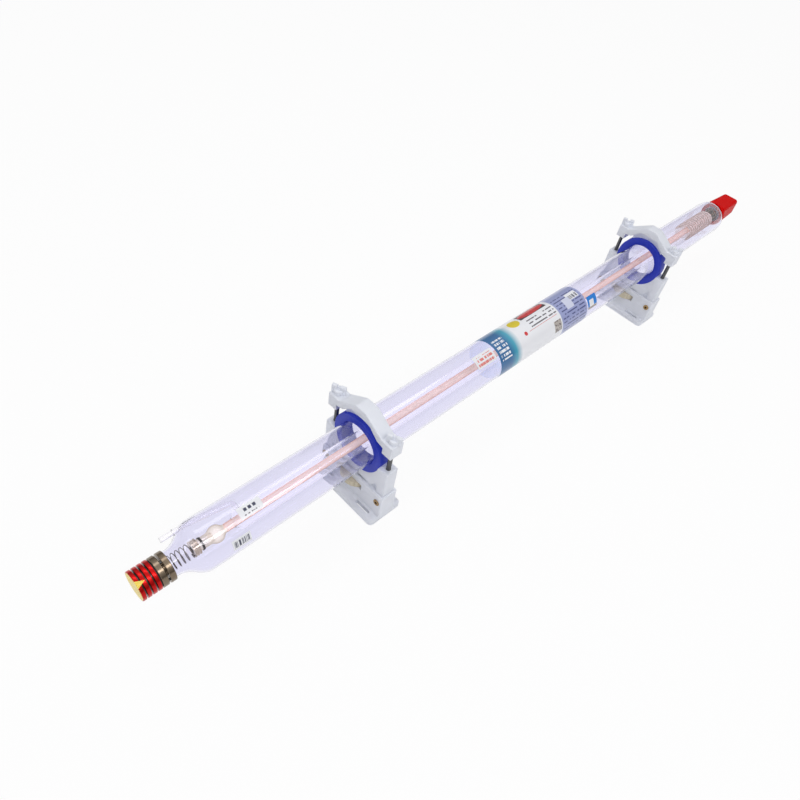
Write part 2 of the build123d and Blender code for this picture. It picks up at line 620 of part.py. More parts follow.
def saddle():
    """Moulded saddle: two pillars, a cradle for the rubber ring and two guide legs."""
    top = AXIS_HEIGHT + PILLAR_TOP
    body = Pos(0, 0, LEG_FLOOR) * Box(SADDLE_DEPTH, SADDLE_WIDTH, top - LEG_FLOOR, align=BOTTOM)
    body = fillet(body.edges().filter_by(Axis.Z), 1.5)
    between = SADDLE_WIDTH - 2 * LEG_WIDTH
    body -= Pos(0, 0, LEG_FLOOR) * Box(SADDLE_DEPTH, between, WEB_BOTTOM - LEG_FLOOR, align=BOTTOM)
    body -= Pos(0, 0, AXIS_HEIGHT) * Rot(0, 90, 0) * Cylinder(CRADLE_RADIUS, SADDLE_DEPTH)
    body -= Pos(0, 0, WEB_BOTTOM) * Cylinder(SCREW_RADIUS + SEAT_GAP, SCREW_SEAT, align=BOTTOM)
    half = SADDLE_DEPTH / 2
    for side in (-1, 1):
        body -= Pos(0, side * BOLT_OFFSET, top - BOLT_ENGAGED) * Cylinder(
            BOLT_RADIUS + RUNNING_GAP, BOLT_ENGAGED, align=BOTTOM)
        for face in (-1, 1):
            low = HOUSING_HEIGHT - POCKET_LAP
            corner = side * (POCKET_MIDDLE - POCKET_WIDTH / 2)
            peak = side * (POCKET_MIDDLE + POCKET_WIDTH / 2)
            notch = Plane.YZ.offset(face * half) * make_face(
                Polyline((corner, low), (peak, low), (peak, low + POCKET_HEIGHT),
                         (peak - side * POCKET_TIP, low + POCKET_HEIGHT), close=True))
            body -= extrude(notch, -face * POCKET_DEPTH)
            relief = Pos(face * (half - RELIEF_DEPTH / 2), side * RELIEF_MIDDLE, WEB_BOTTOM)
            body -= relief * Box(RELIEF_DEPTH, RELIEF_WIDTH, RELIEF_HEIGHT, align=BOTTOM)
    return body


def rubber_ring():
    """Soft ring between the glass and the clamp."""
    ring = sleeve(-RING_DEPTH / 2, RING_DEPTH / 2, RING_RADIUS, JACKET_RADIUS + SEAT_GAP)
    return Pos(0, 0, AXIS_HEIGHT) * ring


def yoke():
    """Moulded clamp over the ring: two flat ends, an arch and a pressing rib inside."""
    right = [(YOKE_CROWN_HALF, YOKE_CROWN), YOKE_SHOULDER, (YOKE_ARCH_HALF, YOKE_TOP)]
    outer = [(-y, z) for y, z in reversed(right)] + right
    crown = FilletPolyline((-YOKE_HALF, YOKE_TOP), *outer, (YOKE_HALF, YOKE_TOP),
                           radius=YOKE_ROUNDS + YOKE_ROUNDS[::-1])
    inner = [(YOKE_HALF, YOKE_TOP), (YOKE_HALF, YOKE_UNDER), (RING_RADIUS, YOKE_UNDER), *YOKE_INSIDE,
             (YOKE_INNER_HALF, YOKE_INNER_CROWN)]
    under = Polyline(*inner, *[(-y, z) for y, z in reversed(inner)])
    section = Plane.YZ * make_face(Wire([*crown.edges(), *under.edges()]))
    arch = extrude(section, YOKE_DEPTH / 2, both=True)
    arch = chamfer(arch.faces().filter_by(Axis.X).edges(), YOKE_EDGE)
    chord = Line((YOKE_HALF, YOKE_TOP), (-YOKE_HALF, YOKE_TOP))
    filled = extrude(Plane.YZ * make_face(Wire([*crown.edges(), chord])), RIB_DEPTH / 2, both=True)
    core = Pos(0, 0, RIB_FLOOR) * Box(RIB_DEPTH, 2 * RIB_HALF, YOKE_TOP - RIB_FLOOR, align=BOTTOM)
    body = arch + filled + core
    body -= Rot(0, 90, 0) * Cylinder(CRADLE_RADIUS, YOKE_DEPTH)
    for side in (-1, 1):
        body -= Pos(0, side * BOLT_OFFSET, 0) * Cylinder(
            BOLT_RADIUS + BOLT_CLEARANCE, YOKE_CROWN, align=BOTTOM)
        body -= Pos(0, side * BOLT_OFFSET, YOKE_TOP) * Cylinder(SCOOP_RADIUS, YOKE_CROWN, align=BOTTOM)
    return Pos(0, 0, AXIS_HEIGHT) * body


def clamp_bolt():
    """Steel stud of a clamp knob, screwed down through the yoke into the pillar."""
    low = AXIS_HEIGHT + PILLAR_TOP - BOLT_ENGAGED + BOLT_TAIL_GAP
    bolt = Cylinder(BOLT_RADIUS, KNOB_BOTTOM + KNOB_SOCKET - low, align=BOTTOM)
    bolt = chamfer(bolt.edges().sort_by(Axis.Z)[0], 0.8)
    return Pos(0, 0, low) * bolt


def clamp_knob():
    """Moulded wing knob: a round boss with two wings and a dished top."""
    boss = Cylinder(KNOB_RADIUS, KNOB_HEIGHT, align=BOTTOM)
    wings = Box(WING_THICK, WING_SPAN, WING_HEIGHT, align=BOTTOM) & Cylinder(
        WING_SPAN / 2, WING_HEIGHT, align=BOTTOM)
    wings = fillet(wings.faces().sort_by(Axis.Z)[-1].edges(), 1.5)
    wings -= Pos(0, 0, KNOB_HEIGHT + WING_DISH) * Rot(90, 0, 90) * Cylinder(WING_DISH, WING_THICK)
    knob = fillet(boss.edges().sort_by(Axis.Z)[-1], 1.5) + wings
    knob -= Cylinder(BOLT_RADIUS + SEAT_GAP, KNOB_SOCKET, align=BOTTOM)
    return Pos(0, 0, KNOB_BOTTOM) * Rot(0, 0, WING_TURN) * knob


# ---------------------------------------------------------------- all the pieces
def tube_pieces():
    """Every piece of the laser tube itself, by node name."""
    stickers = {
        "mark_sticker": MARK_STICKER,
        "outlet_sticker": OUTLET_STICKER,
        "serial_sticker": SERIAL_STICKER,
        "band_sticker": BAND_STICKER,
    }
    pieces = {
        "outer_jacket": outer_jacket(),
        "water_jacket": water_jacket(),
        "discharge_tube": discharge_tube(),
        "electrode_flask": electrode_flask(),
        "gas_return_coil": gas_return_coil(),
        "gas_return_tube": gas_return_tube(),
        "finned_heat_sink": finned_heat_sink(),
        "output_mirror": mirror_disc(FIN_LENGTH - MIRROR_THICK, MIRROR_THICK),
        "head_spacer": head_spacer(),
        "front_head_mount": head_mount(HEAD_START, HEAD_RADIUS, NECK_RADIUS, True),
        "front_adjusting_screws": adjusting_screws(HEAD_START, HEAD_RADIUS),
        "aperture_sticker": aperture_sticker(),
        "rear_head_mount": head_mount(REAR_HEAD_START, REAR_HEAD_RADIUS, REAR_NECK_RADIUS, False),
        "rear_adjusting_screws": adjusting_screws(REAR_HEAD_START, REAR_HEAD_RADIUS),
        "rear_mirror": mirror_disc(REAR_HEAD_END, MIRROR_THICK),
        "mirror_retainer": mirror_retainer(),
        "anode_pin": anode_pin(),
        "rear_cover": rear_cover(),
        "cathode_spring": cathode_spring(),
        "electrode_cup": electrode_cup(),
        "electrode_band": electrode_band(),
        "cathode_cylinder": cathode_cylinder(),
        "main_label": wrap_label(*MAIN_LABEL),
    }
    for node, nozzle in NOZZLES.items():
        pieces[node] = water_nozzle(*nozzle)
    for node, place in stickers.items():
        pieces[node] = wrap_label(*place)
    return {node: TUBE_PLACE * shape for node, shape in pieces.items()}


def mount_pieces(end, station):
    """Every piece of one mount, by node name."""
    place = Pos(station - TUBE_MIDDLE, 0, 0)
    pieces = {
        f"{end}_base": mount_base(),
        f"{end}_lock_screws": lock_screws(),
        f"{end}_height_wheel": height_wheel(),
        f"{end}_height_screw": height_screw(),
        f"{end}_saddle": saddle(),
        f"{end}_rubber_ring": rubber_ring(),
        f"{end}_yoke": yoke(),
    }
    for side, offset in (("right", -BOLT_OFFSET), ("left", BOLT_OFFSET)):
        pieces[f"{end}_{side}_clamp_bolt"] = Pos(0, offset, 0) * clamp_bolt()
        pieces[f"{end}_{side}_clamp_knob"] = Pos(0, offset, 0) * clamp_knob()
    return {node: place * shape for node, shape in pieces.items()}


def main():
    pieces = tube_pieces()
    for end, station in MOUNT_STATIONS.items():
        pieces.update(mount_pieces(end, station))
    for node, shape in pieces.items():
        save(shape, node)


main()
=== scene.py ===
"""Sealed glass laser tube on two clamp mounts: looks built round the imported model.

Lengths are in metres in the model's own frame: the tube runs along X with the
output head at -X, Z is up and the feet stand on Z = 0. A station is the
distance from the front face of the output head along the tube.
"""
from math import cos, pi, radians, sin

import bpy
from mathutils import Matrix, Vector


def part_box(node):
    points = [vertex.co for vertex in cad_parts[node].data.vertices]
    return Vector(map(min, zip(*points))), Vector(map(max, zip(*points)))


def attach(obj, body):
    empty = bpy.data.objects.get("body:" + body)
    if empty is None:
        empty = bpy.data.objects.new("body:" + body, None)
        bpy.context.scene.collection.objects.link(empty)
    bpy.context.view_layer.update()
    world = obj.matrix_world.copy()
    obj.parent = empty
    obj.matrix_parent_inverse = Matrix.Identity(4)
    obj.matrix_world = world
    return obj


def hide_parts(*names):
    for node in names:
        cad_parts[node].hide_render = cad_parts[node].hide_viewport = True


bl_info = {
    "name": "Glass Laser Tube",
    "version": (1, 0, 0),
    "blender": (4, 5, 0),
    "location": "View3D > Sidebar > Laser Tube",
    "description": "Builds the glass, metal, plastic and printed films of a sealed laser tube",
    "category": "Object",
}

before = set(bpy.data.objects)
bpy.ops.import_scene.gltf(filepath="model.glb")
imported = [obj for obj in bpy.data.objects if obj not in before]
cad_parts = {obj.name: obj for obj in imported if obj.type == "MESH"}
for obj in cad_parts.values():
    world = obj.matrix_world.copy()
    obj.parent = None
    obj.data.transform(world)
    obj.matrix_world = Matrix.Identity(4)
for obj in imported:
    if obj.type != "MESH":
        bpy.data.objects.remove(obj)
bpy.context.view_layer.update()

MM = 0.001
ENDS = ("front", "rear")
JACKET_LOW, JACKET_HIGH = (Vector(corner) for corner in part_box("outer_jacket"))
AXIS = (JACKET_LOW.z + JACKET_HIGH.z) / 2
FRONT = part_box("finned_heat_sink")[0][0]

# Stations along the tube, in mm.
NECK_START, SHOULDER_START, BODY_START = 47.0, 53.0, 99.0
BODY_END, REAR_NECK_START, GLASS_END = 1599.0, 1625.0, 1631.0
WATER_START, WATER_FULL, WATER_LAST, WATER_END = 153.5, 163.0, 1589.0, 1598.5
DISCHARGE_START, DISCHARGE_END = 139.6, 1610.4
FLASK_NECK_END = 106.0
LABEL_START, LABEL_END = 713.0, 993.0

# Radii, walls and small sizes in mm, and counts.
WELD = 1e-6                              # in metres: corners nearer than this are one
BODY_LOOPS = 12                          # stretches along the straight part of the glass
WATER_WALL = 1.5
DISCHARGE_WALL = 1.4
WATER_SEAL = 1.6                         # what its drawn-in ends stand out from the discharge tube
FIN, FIN_PITCH, FINS = 5.2, 7.6, 4
FIN_RIM, FIN_FLOOR, HEAD_BORE = 23.0, 17.5, 8.0
FIN_EDGE = 0.4                           # bevel of the fins
GROOVE_TOP = 22.0                        # radius above which the fins show their red; below it they get painted shade
RING_OUTER, RING_BORE = 55.0, 40.05
RING_HALF, RING_EDGE = 12.5, 1.0         # half the width of the blue rings, and their bevel
LOCK_HEAD, LOCK_SOCKET = 6.2, 2.6        # radii of the lock screws' heads and sockets
FILM_RADIUS = 40.1                       # middle of the printed films
FILM_LIFT = 0.07                         # from there to the outer face of the main label


def linear(red, green, blue):
    """A colour given as 0 to 255 screen values, as the shader needs it."""
    return tuple(
        value / 12.92 if value <= 0.04045 else ((value + 0.055) / 1.055) ** 2.4
        for value in (red / 255, green / 255, blue / 255))


def along(station):
    """X of a station given in millimetres."""
    return FRONT + station * MM


# ---------------------------------------------------------------- settings
def length(name, text, default):
    return bpy.props.FloatProperty(name=name, description=text, default=default, min=0.0,
                                   subtype="DISTANCE", unit="LENGTH", precision=5)


def colour(name, text, *screen):
    return bpy.props.FloatVectorProperty(name=name, description=text, default=linear(*screen), size=3,
                                         min=0.0, max=1.0, subtype="COLOR")


class TubeSizes(bpy.types.PropertyGroup):
    jacket_radius: length("Jacket radius", "Outer radius of the long glass body", 0.040)
    jacket_wall: length("Jacket wall", "Thickness of the outer glass", 0.0025)
    front_neck: length("Front neck radius", "Radius of the glass neck at the output head", 0.020)
    rear_neck: length("Rear neck radius", "Radius of the glass neck at the rear head", 0.016)
    water_radius: length("Water jacket radius", "Outer radius of the cooling jacket", 0.0165)
    discharge_radius: length("Discharge tube radius", "Outer radius of the inner tube", 0.0065)
    edge: length("Moulded edge", "Rounding on the edges of the plastic mounts", 0.0007)
    film: length("Film thickness", "Thickness of the printed films", 0.00015)


class TubeColours(bpy.types.PropertyGroup):
    glass: colour("Jacket glass", "Tint of the outer glass", 240, 239, 251)
    inner_glass: colour("Inner glass", "Tint of the water jacket and nozzles", 254, 253, 255)
    coil_glass: colour("Coil glass", "Pale glass of the gas return coil", 242, 238, 242)
    coil_rim: colour("Coil rim", "Brown that deepens along its edges", 222, 208, 198)
    discharge: colour("Discharge tube", "Pale pink of the inner tube", 255, 250, 246)
    discharge_rim: colour("Discharge rim", "Salmon that deepens along its edges", 241, 219, 209)
    red_metal: colour("Red anodised", "Anodised aluminium of the output head", 204, 4, 4)
    # The fin groove colour is painted shade for the hollows between the fins.
    groove: colour("Fin groove", "Bare metal between the fins", 84, 62, 56)
    red_cover: colour("Red cover", "Moulded cover of the rear head", 222, 8, 6)
    nickel: colour("Nickel", "Plated flanges of the heads", 132, 117, 100)
    # The cup colour is painted lighter than the heads' nickel, to stand in for the light that the glass keeps
    # off it.
    cup: colour("Cup nickel", "Plated cup and cylinder of the electrode", 206, 190, 166)
    cup_band: colour("Cup band", "Dark band behind the cup", 44, 36, 36)
    optic: colour("Mirror coating", "Coated faces of the two mirrors", 214, 206, 186)
    dark_steel: colour("Dark steel", "Clamp studs and adjusting screws", 92, 92, 94)
    spring: colour("Spring wire", "Tempered steel wire", 104, 94, 90)
    brass: colour("Brass", "Lock screws", 172, 142, 98)
    plastic: colour("Mount plastic", "White plastic of the mounts", 236, 239, 248)
    wheel: colour("Wheel plastic", "Beige plastic of the height wheels", 216, 206, 182)
    rubber: colour("Ring rubber", "Blue rubber of the clamp rings", 14, 32, 138)
    seal: colour("Seal rubber", "Black rubber seal of the head", 22, 22, 24)
    yellow: colour("Yellow film", "Film over the output aperture", 242, 212, 26)
    label_blue: colour("Label blue", "Deep end of the main label", 34, 104, 160)
    label_teal: colour("Label teal", "Middle of the main label's fade", 66, 166, 192)
    label_pale: colour("Label lavender", "Rear part of the main label", 156, 164, 210)
    band: colour("Band blue", "Ground of the small film behind the label", 0, 128, 222)
    patch: colour("Yellow patch", "Plain yellow patch on the main label", 226, 204, 24)
    paper: colour("Label white", "Plain ground of the films", 244, 245, 250)
    ink: colour("Label ink", "Dark print on the films", 52, 56, 84)
    red_ink: colour("Red ink", "Red print on the films", 210, 44, 48)
    floor: colour("Floor", "Plain pale floor", 246, 246, 248)


# ---------------------------------------------------------------- materials
class Recipe:
    """A material under construction."""

    def __init__(self, name):
        self.material = bpy.data.materials.new(name)
        self.material.use_nodes = True
        self.tree = self.material.node_tree
        self.shader = self.tree.nodes["Principled BSDF"]

    def node(self, kind, **values):
        made = self.tree.nodes.new(kind)
        for key, value in values.items():
            setattr(made, key, value)
        return made

    def feed(self, socket, value):
        if isinstance(value, bpy.types.NodeSocket):
            self.tree.links.new(value, socket)
        elif isinstance(value, tuple) and len(value) == 3 and socket.type == "RGBA":
            socket.default_value = (*value, 1.0)
        else:
            socket.default_value = value

    def math(self, operation, *values):
        made = self.node("ShaderNodeMath", operation=operation)
        for socket, value in zip(made.inputs, values):
            self.feed(socket, value)
        return made.outputs[0]

    def blend(self, factor, first, second):
        made = self.node("ShaderNodeMix", data_type="RGBA")
        self.feed(made.inputs[0], factor)
        self.feed(made.inputs[6], first)
        self.feed(made.inputs[7], second)
        return made.outputs[2]

    def place(self, scale=(1.0, 1.0, 1.0), centre=(0.0, 0.0, 0.0)):
        spot = self.node("ShaderNodeMapping", vector_type="POINT")
        self.feed(spot.inputs["Location"], tuple(-c * s for c, s in zip(centre, scale)))
        self.feed(spot.inputs["Scale"], scale)
        self.tree.links.new(self.node("ShaderNodeTexCoord").outputs["Object"], spot.inputs["Vector"])
        return spot.outputs[0]

    def tube_places(self):
        """Station, arc and radius in millimetres; the arc runs round the jacket from +Y towards +Z."""
        parts = self.node("ShaderNodeSeparateXYZ")
        self.feed(parts.inputs[0], self.place((1000.0,) * 3, (FRONT, 0.0, AXIS)))
        x, y, z = parts.outputs
        arc = self.math("WRAP", self.math("MULTIPLY", self.math("ARCTAN2", z, y), FILM_RADIUS),
                        2 * pi * FILM_RADIUS, 0.0)
        square = self.math("ADD", self.math("POWER", y, 2.0), self.math("POWER", z, 2.0))
        return x, arc, self.math("SQRT", square)

    def noise(self, scale, detail=3.0, vector=None):
        made = self.node("ShaderNodeTexNoise")
        self.feed(made.inputs["Vector"], vector or self.place())
        self.feed(made.inputs["Scale"], scale)
        self.feed(made.inputs["Detail"], detail)
        self.feed(made.inputs["Roughness"], 0.55)
        return made.outputs["Fac"]

    def spread(self, value, low, high, out_low, out_high):
        made = self.node("ShaderNodeMapRange")
        for key, number in zip(("Value", "From Min", "From Max", "To Min", "To Max"),
                               (value, low, high, out_low, out_high)):
            self.feed(made.inputs[key], number)
        return made.outputs["Result"]

    def bump(self, height, distance, strength, before=None):
        made = self.node("ShaderNodeBump")
        self.feed(made.inputs["Strength"], strength)
        self.feed(made.inputs["Distance"], distance)
        self.feed(made.inputs["Height"], height)
        if before is not None:
            self.feed(made.inputs["Normal"], before)
        return made.outputs["Normal"]

    def set(self, **sockets):
        for key, value in sockets.items():
            self.feed(self.shader.inputs[key.replace("_", " ")], value)
        return self.material


def darker(tint, share):
    """A colour at this share of its lightness."""
    return tuple(value * share for value in tint)


def moulded_plastic(name, tint, gloss=0.42, shine=0.5):
    """Injection moulded plastic: fine texture, faint flow clouds, soft scuffs."""
    r = Recipe(name)
    clouds = r.spread(r.noise(26.0, 3.0), 0.3, 0.7, 0.0, 1.0)
    grain = r.noise(2600.0, 2.0)
    scuffs = r.spread(r.noise(160.0, 5.0), 0.58, 0.75, 0.0, 1.0)
    normal = r.bump(grain, 0.00004, 0.45)
    return r.set(Base_Color=r.blend(clouds, tint, darker(tint, 0.95)),
                 Roughness=r.math("ADD", r.math("MULTIPLY", scuffs, 0.14), gloss),
                 Normal=r.bump(r.noise(420.0, 2.0), 0.00006, 0.3, normal), Specular_IOR_Level=shine)


def turned_metal(name, tint, gloss):
    """Metal turned about the tube's axis: fine rings, slight tarnish."""
    r = Recipe(name)
    grooves = r.noise(1.0, 2.0, r.place((2400.0, 20.0, 20.0)))
    tarnish = r.spread(r.noise(60.0, 4.0), 0.35, 0.72, 0.0, 1.0)
    return r.set(Base_Color=r.blend(tarnish, tint, darker(tint, 0.8)), Metallic=1.0,
                 Roughness=r.math("ADD", r.math("MULTIPLY", grooves, 0.16), gloss),
                 Normal=r.bump(grooves, 0.00002, 0.5))


def anodised(name, tint, groove_shade, groove_top):
    """Dyed anodised aluminium: red on the rims, with painted shade that turns it dark down between the fins.
    """
    r = Recipe(name)
    marks = r.noise(1.0, 2.0, r.place((1800.0, 16.0, 16.0)))
    _, _, radius = r.tube_places()
    rim = r.blend(r.noise(90.0, 3.0), tint, darker(tint, 0.72))
    # Painted shade: below GROOVE_TOP the fins turn to the dark groove colour.
    groove_shade_mask = r.spread(radius, groove_top - 1.2, groove_top, 0.0, 1.0)
    return r.set(Base_Color=r.blend(groove_shade_mask, groove_shade, rim), Metallic=0.85,
                 Roughness=r.math("ADD", r.math("MULTIPLY", marks, 0.16), 0.2),
                 Coat_Weight=0.12, Coat_Roughness=0.12, Normal=r.bump(marks, 0.00003, 0.5))


def brass(name, tint, offset, height):
    """Turned brass screws, with painted shade: dark brown in the sockets about their own axes.

    The screws run along X, at this offset either side of the middle plane and this height.
    """
    r = Recipe(name)
    parts = r.node("ShaderNodeSeparateXYZ")
    r.feed(parts.inputs[0], r.place((1000.0,) * 3))
    across = r.math("SUBTRACT", r.math("ABSOLUTE", parts.outputs[1]), offset / MM)
    above = r.math("SUBTRACT", parts.outputs[2], height / MM)
    away = r.math("SQRT", r.math("ADD", r.math("POWER", across, 2.0), r.math("POWER", above, 2.0)))
    marks = r.noise(700.0, 3.0)
    worn = r.blend(marks, tint, darker(tint, 0.7))
    # Painted shade: dark brown inside each socket's radius.
    rim = r.spread(away, LOCK_SOCKET, LOCK_SOCKET + 0.3, 0.0, 1.0)
    return r.set(Base_Color=r.blend(rim, linear(74, 54, 38), worn), Metallic=0.9,
                 Roughness=r.math("ADD", r.math("MULTIPLY", marks, 0.2), 0.22))


def drawn_steel(name, tint, gloss=0.28):
    """Bolts and wire: long drawing marks along Z and small dark spots."""
    r = Recipe(name)
    streaks = r.noise(1.0, 3.0, r.place((1500.0, 1500.0, 60.0)))
    spots = r.spread(r.noise(500.0, 3.0), 0.6, 0.75, 0.0, 1.0)
    return r.set(Base_Color=r.blend(spots, tint, darker(tint, 0.6)), Metallic=1.0,
                 Roughness=r.math("ADD", r.math("MULTIPLY", streaks, 0.2), gloss),
                 Normal=r.bump(streaks, 0.00002, 0.4))


def nickel_plate(colours):
    """The one plated finish of the heads' metal."""
    return bpy.data.materials.get("nickel_plate") or turned_metal("nickel_plate", tuple(colours.nickel), 0.13)


def stud_steel(colours):
    """The one dark steel of the clamp bolts and adjusting screws."""
    return bpy.data.materials.get("stud_steel") or drawn_steel("stud_steel", tuple(colours.dark_steel))


def soft_rubber(name, tint, gloss=0.5, painted_glow=0.0):
    """Moulded rubber with a dusty bloom; its glow is painted light, an emission of the rubber's own tint that
    lifts its shaded sides.
    """
    r = Recipe(name)
    bloom = r.spread(r.noise(120.0, 4.0), 0.45, 0.8, 0.0, 0.35)
    pale = tuple(min(1.0, value * 1.6 + 0.01) for value in tint)
    return r.set(Base_Color=r.blend(bloom, tint, pale),
                 Roughness=r.math("ADD", r.math("MULTIPLY", r.noise(300.0, 2.0), 0.2), gloss),
                 Normal=r.bump(r.noise(1400.0, 2.0), 0.00005, 0.4),
                 Emission_Color=tint, Emission_Strength=painted_glow)


def blown_glass(name, tint, painted_glow=0.0):
    """Clear drawn glass with faint long streaks; its glow is painted light, an even white emission that lifts
    the inner walls.
    """
    r = Recipe(name)
    streaks = r.noise(1.0, 2.0, r.place((4.0, 90.0, 90.0)))
    return r.set(Base_Color=r.blend(streaks, tint, darker(tint, 0.985)), IOR=1.45, Transmission_Weight=1.0,
                 Roughness=r.spread(streaks, 0.4, 0.7, 0.0, 0.02), Emission_Color=(1.0, 1.0, 1.0),
                 Emission_Strength=painted_glow)


def silvered(name, neck_end):
    """Flask glass: a bright metal deposit in the neck that thins out over the bulb, and a painted glow of
    even white emission over it all.
    """
    r = Recipe(name)
    x, _, _ = r.tube_places()
    ragged = r.math("ADD", x, r.math("MULTIPLY", r.noise(90.0, 3.0), 8.0))
    deposit = r.spread(ragged, neck_end, neck_end + 10.0, 0.85, 0.0)
    return r.set(Base_Color=r.blend(deposit, linear(246, 246, 246), linear(198, 186, 170)), Metallic=deposit,
                 Transmission_Weight=1.0, Roughness=r.spread(deposit, 0.0, 1.0, 0.0, 0.12), IOR=1.5,
                 Coat_Weight=1.0, Coat_Roughness=0.02, Coat_IOR=1.01, Coat_Tint=linear(238, 235, 230),
                 Emission_Color=(1.0, 1.0, 1.0), Emission_Strength=0.28)


def lit_tube(name, tint, rim, painted_glow=0.44, alpha=1.0):
    """Pale inner tube that deepens to its rim colour along its edges, as thick glass does; its glow is
    painted light, an emission of its own skin colour that lifts it inside the dark glass.
    """
    r = Recipe(name)
    cloud = r.spread(r.noise(1.0, 3.0, r.place((12.0, 70.0, 70.0))), 0.35, 0.7, 0.0, 1.0)
    skin = r.blend(cloud, tint, darker(tint, 0.93))
    return r.set(Base_Color=skin, Roughness=0.14, Coat_Weight=1.0, Coat_Roughness=0.03, Coat_IOR=1.01,
                 Coat_Tint=rim, Emission_Color=skin, Emission_Strength=painted_glow, Alpha=alpha)


# Rows of marks: the pitch in mm, the share of it that a row takes, and the marks to a mm.
PRINT_ROWS = {"rows": (7.6, 0.34, 0.1), "blocks": (8.4, 0.6, 0.36)}
ROW_SHIFT = 7.3                          # keeps the marks of one row unlike those of the next
BAR_RUN = 0.34                           # bars to a mm
CELL = 2.6                               # side of a cell of the grids, in mm


def field_mask(r, places, shape, centre, reach):
    """One on a field's print, nought off it; centre and reach are (along, round), in millimetres."""
    if shape == "oval":
        shares = [r.math("POWER", r.math("DIVIDE", r.math("SUBTRACT", place, middle), half), 2.0)
                  for place, middle, half in zip(places, centre, reach)]
        return r.math("LESS_THAN", r.math("ADD", *shares), 1.0)
    x, arc = places
    mask = r.math("MULTIPLY", *(r.math("COMPARE", *spot) for spot in zip(places, centre, reach)))
    if shape == "plain":
        return mask
    spot = r.node("ShaderNodeCombineXYZ")
    if shape == "bars":
        r.feed(spot.inputs[0], r.math("MULTIPLY", x, BAR_RUN))
        return r.math("MULTIPLY", mask, r.math("GREATER_THAN", r.noise(1.0, 2.0, spot.outputs[0]), 0.5))
    if shape == "grid":
        r.feed(spot.inputs[0], r.math("FLOOR", r.math("DIVIDE", x, CELL)))
        r.feed(spot.inputs[1], r.math("FLOOR", r.math("DIVIDE", arc, CELL)))
        cells = r.node("ShaderNodeTexWhiteNoise")
        r.feed(cells.inputs["Vector"], spot.outputs[0])
        return r.math("MULTIPLY", mask, r.math("GREATER_THAN", cells.outputs["Value"], 0.5))
    pitch, share, run = PRINT_ROWS[shape]
    row = r.math("DIVIDE", arc, pitch)
    r.feed(spot.inputs[0], r.math("MULTIPLY", x, run))
    r.feed(spot.inputs[1], r.math("MULTIPLY", r.math("FLOOR", row), ROW_SHIFT))
    stripe = r.math("LESS_THAN", r.math("FRACT", row), share)
    marks = r.math("GREATER_THAN", r.noise(1.0, 1.0, spot.outputs[0]), 0.44)
    return r.math("MULTIPLY", mask, r.math("MULTIPLY", stripe, marks))


def faded(r, x, first, last, stops):
    """Ground that changes along the tube; a stop is (share of the way, colour)."""
    ramp = r.node("ShaderNodeValToRGB")
    r.feed(ramp.inputs[0], r.spread(x, first, last, 0.0, 1.0))
    while len(ramp.color_ramp.elements) < len(stops):
        ramp.color_ramp.elements.new(0.5)
    for element, (spot, tint) in zip(ramp.color_ramp.elements, stops):
        element.position = spot
        element.color = (*tint, 1.0)
    return ramp.outputs[0]


def printed(name, ground, fields=(), fade=None, gloss=0.3, back=0.0):
    """Printed film: soft paper tone, plain fields of colour and rows of small marks.

    A field is (shape, station, arc, half length, half width, colour), in millimetres, with the
    arc measured round the jacket from +Y towards +Z. back is painted light: a glow of the ground
    colour on the inner side, which the glass keeps dark.
    """
    r = Recipe(name)
    x, arc, radius = r.tube_places()
    tone = faded(r, x, *fade) if fade else r.blend(r.noise(140.0, 3.0), ground, darker(ground, 0.96))
    for shape, station, middle, half_x, half_arc, tint in fields:
        mask = field_mask(r, (x, arc), shape, (station, middle), (half_x, half_arc))
        tone = r.blend(mask, tone, tint)
    # Painted light: the inner side glows with the ground colour.
    if back:
        inner = r.math("LESS_THAN", radius, FILM_RADIUS)
        r.set(Emission_Color=r.blend(inner, (0.0, 0.0, 0.0), ground), Emission_Strength=back)
    return r.set(Base_Color=tone, Roughness=gloss, Coat_Weight=0.35, Coat_Roughness=0.12,
                 Normal=r.bump(r.noise(900.0, 2.0), 0.00003, 0.3))


# ---------------------------------------------------------------- modelling helpers
def clear():
    """Object mode with nothing selected."""
    if bpy.context.object and bpy.context.object.mode != "OBJECT":
        bpy.ops.object.mode_set(mode="OBJECT")
    bpy.ops.object.select_all(action="DESELECT")


def only(piece):
    """Selects one piece and makes it the active one."""
    clear()
    piece.select_set(True)
    bpy.context.view_layer.objects.active = piece


def apply(piece, kind, **values):
    """Adds a modifier with these values and applies it."""
    only(piece)
    modifier = piece.modifiers.new(kind.title(), kind)
    for key, value in values.items():
        setattr(modifier, key, value)
    bpy.ops.object.modifier_apply(modifier=modifier.name)


def finish_piece(piece, name, material, body, smooth=35.0):
    """Names a piece, applies its place, shades it, paints it and lets it ride on its body."""
    only(piece)
    bpy.ops.object.transform_apply(location=True, rotation=True, scale=True)
    bpy.ops.object.shade_smooth_by_angle(angle=radians(smooth))
    piece.name = name
    piece.data.name = name
    piece.data.materials.clear()
    piece.data.materials.append(material)
    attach(piece, body)
    return piece


